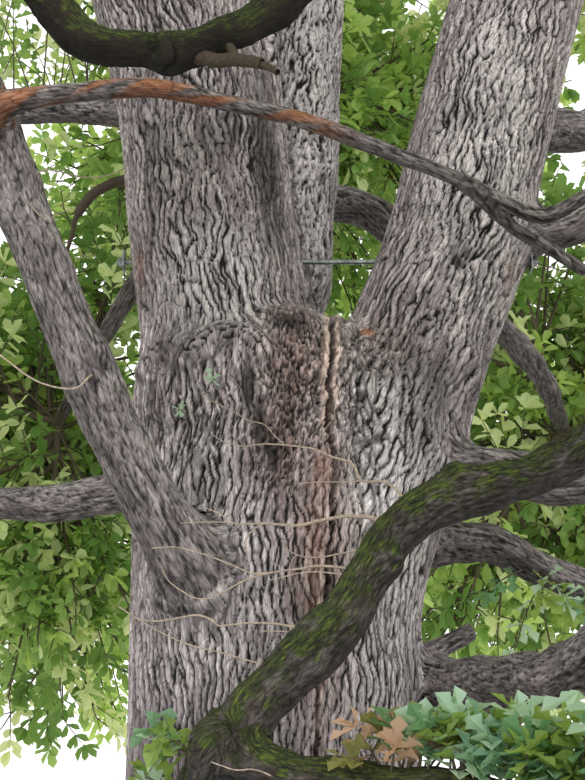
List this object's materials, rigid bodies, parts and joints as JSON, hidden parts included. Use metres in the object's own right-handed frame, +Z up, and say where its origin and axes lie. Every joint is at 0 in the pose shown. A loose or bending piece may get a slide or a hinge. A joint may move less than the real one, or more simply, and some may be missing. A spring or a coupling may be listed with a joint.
{
  "type": "mature oak tree",
  "caption": "Mature broad-crowned oak that forks low into three stems, with spreading boughs, leaf masses and a steel brace rod through the two main stems.",
  "frame": {"origin": "middle of the flat cut under the trunk, at ground level", "axes": "+Z up; the side with the split in the fork faces -Y; +X to the right when that side is seen from in front"},
  "size_m": [17.0929, 16.8611, 18.1975],
  "materials": {
    "bark": "deeply furrowed grey-brown oak bark, matt",
    "mossy_bark": "rough bark under dark olive moss, matt",
    "peeled_wood": "bare orange-brown wood where bark has peeled or split",
    "foliage": "green lobed leaves, soft sheen, light comes through",
    "steel": "weathered galvanised rod with plates and nuts"
  },
  "bodies": {
    "root": {"trunk": "bark", "left_stem": "bark", "right_stem": "bark", "rear_stem": "bark", "left_bough": "bark", "rear_left_bough": "bark", "hanging_bough_inner": "mossy_bark", "hanging_bough_outer": "mossy_bark", "mossy_foot": "mossy_bark", "mossy_arm": "mossy_bark", "mossy_low_arm": "mossy_bark", "right_bough_upper": "bark", "right_bough_middle": "bark", "right_bough_lower": "bark", "sawn_stub": "bark", "right_rear_bough": "bark", "right_side_bough": "bark", "back_bough": "bark", "left_rear_bough": "bark", "peeled_branch": "peeled_wood", "peeled_branch_fork": "peeled_wood", "back_left_bough": "bark", "front_left_bough": "bark", "high_back_bough": "bark", "high_left_bough": "bark", "high_front_bough": "bark", "shoulder_bough_1": "bark", "shoulder_bough_2": "bark", "shoulder_bough_3": "bark", "shoulder_bough_4": "bark", "shoulder_bough_5": "bark", "shoulder_bough_6": "bark", "brace_rod": "steel", "leaves_top_2": "foliage", "leaves_top_3": "foliage", "leaves_top_1": "foliage", "leaves_waist_6": "foliage", "leaves_skirt_4": "foliage", "leaves_skirt_5": "foliage", "leaves_waist_8": "foliage", "leaves_low": "foliage", "leaves_skirt_8": "foliage", "leaves_skirt_1": "foliage", "leaves_skirt_7": "foliage", "leaves_waist_2": "foliage", "leaves_waist_1": "foliage", "leaves_skirt_2": "foliage", "leaves_waist_4": "foliage", "leaves_skirt_3": "foliage", "leaves_skirt_6": "foliage", "leaves_waist_3": "foliage", "leaves_waist_5": "foliage", "leaves_waist_7": "foliage", "leaves_shoulder_1": "foliage", "leaves_shoulder_2": "foliage", "leaves_shoulder_3": "foliage", "leaves_shoulder_4": "foliage", "leaves_shoulder_5": "foliage", "leaves_shoulder_6": "foliage"}
  },
  "joints": []
}
